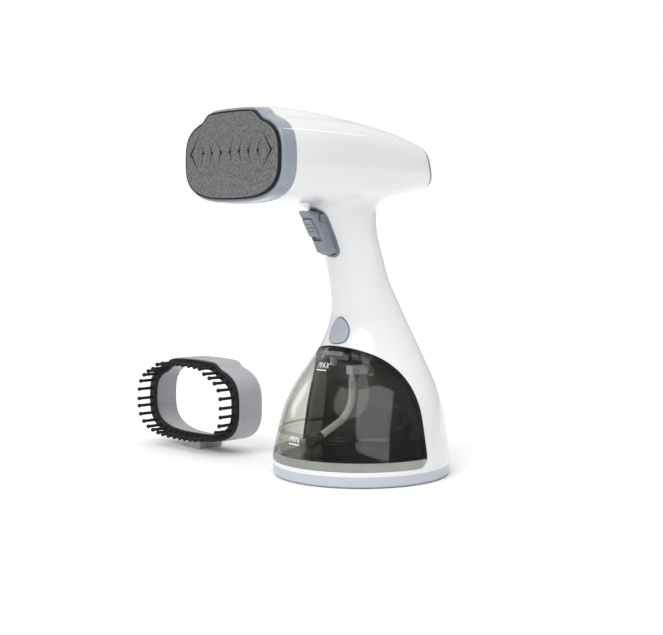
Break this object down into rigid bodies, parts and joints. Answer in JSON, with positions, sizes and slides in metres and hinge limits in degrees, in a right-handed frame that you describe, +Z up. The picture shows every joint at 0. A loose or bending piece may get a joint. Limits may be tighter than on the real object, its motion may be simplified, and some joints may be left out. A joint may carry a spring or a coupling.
{
  "type": "handheld garment steamer",
  "caption": "Handheld garment steamer: upright handle on a bell base with a pull-out smoked water tank, oblong steam plate, thumb trigger and a separate ring-shaped pin brush.",
  "frame": {"origin": "centre of the base's underside, on the table", "axes": "+Z up, -Y towards the steam plate, +X to the right of someone facing the plate's back"},
  "size_m": [0.2923, 0.1938, 0.2618],
  "materials": {
    "white_plastic": "glossy white moulded plastic",
    "grey_plastic": "satin blue-grey moulded plastic",
    "dark_grey_plastic": "satin dark blue-grey moulded plastic",
    "coated_plate": "dark speckled ceramic coating",
    "black_rubber": "matt black rubber",
    "clear_silicone": "translucent silicone",
    "cast_aluminium": "bead-blasted cast aluminium",
    "bright_steel": "plated steel",
    "brass": "turned brass",
    "black_plastic": "matt black plastic",
    "white_nylon": "natural nylon",
    "copper_coil": "enamelled copper winding",
    "circuit_board": "green solder mask",
    "smoked_tank": "smoked transparent plastic",
    "indicator_lens": "tinted clear lens",
    "brush_grey": "metallic grey plastic"
  },
  "bodies": {
    "steamer": {"housing_left": "white_plastic", "housing_right": "white_plastic", "head_left": "white_plastic", "head_right": "white_plastic", "bay_sill": "white_plastic", "front_bezel": "grey_plastic", "base_ring": "grey_plastic", "trigger_surround": "dark_grey_plastic", "rear_panel": "dark_grey_plastic", "steam_plate": "coated_plate", "plate_gasket": "black_rubber", "bay_seal": "black_rubber", "base_pad": "black_rubber", "cord_gland": "black_rubber", "inlet_hose": "clear_silicone", "outlet_hose": "clear_silicone", "steam_chamber": "cast_aluminium", "chamber_cover": "cast_aluminium", "heating_element": "bright_steel", "heat_shield": "bright_steel", "trigger_pin": "bright_steel", "trigger_spring": "bright_steel", "button_spring": "bright_steel", "pump_spring": "bright_steel", "pump_bracket": "bright_steel", "switch_bracket": "bright_steel", "base_screws": "bright_steel", "housing_screws": "bright_steel", "thermostat": "bright_steel", "steam_inlet_nozzle": "brass", "bay_liner": "black_plastic", "button_guide": "black_plastic", "micro_switch": "black_plastic", "base_plate": "black_plastic", "pump_body": "black_plastic", "board_parts": "black_plastic", "thermal_fuse": "black_plastic", "inlet_socket": "white_nylon", "terminal_block": "white_nylon", "pump_coil": "copper_coil", "control_board": "circuit_board", "indicator_lens": "indicator_lens"},
    "tank": {"tank_shell": "smoked_tank", "tank_pan": "smoked_tank", "tank_catch": "grey_plastic", "tank_outlet": "white_nylon", "outlet_oring": "black_rubber", "suction_tube": "clear_silicone", "suction_filter": "black_plastic", "fill_plug": "black_rubber"},
    "trigger": {"trigger": "grey_plastic"},
    "trigger_lock": {"trigger_lock": "grey_plastic"},
    "switch_plunger": {"switch_plunger": "white_nylon"},
    "release_button": {"release_button": "grey_plastic", "release_latch": "black_plastic"},
    "pump_piston": {"pump_piston": "bright_steel"},
    "brush": {"brush_frame": "brush_grey", "brush_ring": "black_rubber", "brush_pins": "black_rubber"}
  },
  "joints": [
    {"name": "tank_slide", "type": "slide", "parent": "steamer", "child": "tank", "axis": [0, -1, 0], "range_m": [0, 0.11]},
    {"name": "trigger_squeeze", "type": "hinge", "parent": "steamer", "child": "trigger", "pos_m": [0, -0.04, 0.188], "axis": [1, 0, 0], "range_deg": [0, 6], "stiffness_Nm_per_rad": 0.8, "springref_deg": -6.88},
    {"name": "trigger_lock_slide", "type": "slide", "parent": "trigger", "child": "trigger_lock", "axis": [0, 0.4953, -0.8687], "range_m": [0, 0.0045]},
    {"name": "switch_plunger_press", "type": "slide", "parent": "steamer", "child": "switch_plunger", "axis": [0, 1, 0], "range_m": [0, 0.002]},
    {"name": "release_button_press", "type": "slide", "parent": "steamer", "child": "release_button", "axis": [0, 1, 0], "range_m": [0, 0.0035], "stiffness_N_per_m": 500, "springref_m": -0.004, "deforming": ["button_spring"]},
    {"name": "pump_stroke", "type": "slide", "parent": "steamer", "child": "pump_piston", "axis": [0, 0, -1], "range_m": [-0.002, 0], "stiffness_N_per_m": 800, "springref_m": 0.002, "deforming": ["pump_spring"]},
    {"name": "brush_lift", "type": "slide", "parent": "steamer", "child": "brush", "axis": [0, 0, 1], "range_m": [0, 0.15]}
  ],
  "couplings": [
    {"joint": "switch_plunger_press", "follows": "trigger_squeeze", "m_per_rad": 0.019}
  ]
}
